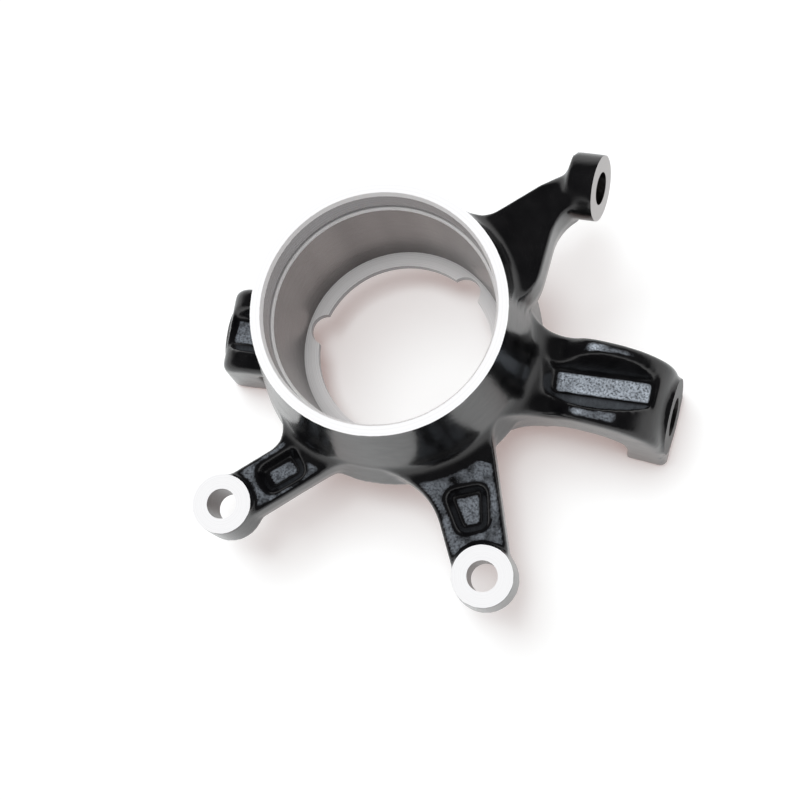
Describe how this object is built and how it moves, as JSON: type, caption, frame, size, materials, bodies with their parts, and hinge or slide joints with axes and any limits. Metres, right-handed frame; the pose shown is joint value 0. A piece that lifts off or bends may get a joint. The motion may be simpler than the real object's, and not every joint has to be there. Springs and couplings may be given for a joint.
{
  "type": "steering knuckle",
  "caption": "Cast steering knuckle with a stepped wheel bearing bore, two caliper ears, a steering arm with an eye, and two ball joint arms.",
  "frame": {"origin": "centre of the wheel bearing seat, on the wheel axis", "axes": "+Z along the wheel axis, outboard; +X down the car, parallel to the line through the caliper holes; the caliper is on the -Y side"},
  "size_m": [0.1753, 0.1572, 0.082],
  "materials": {
    "cast": "black coated casting, satin to gloss, machined bright at its bore and faces"
  },
  "bodies": {
    "root": {"knuckle": "cast"}
  },
  "joints": []
}
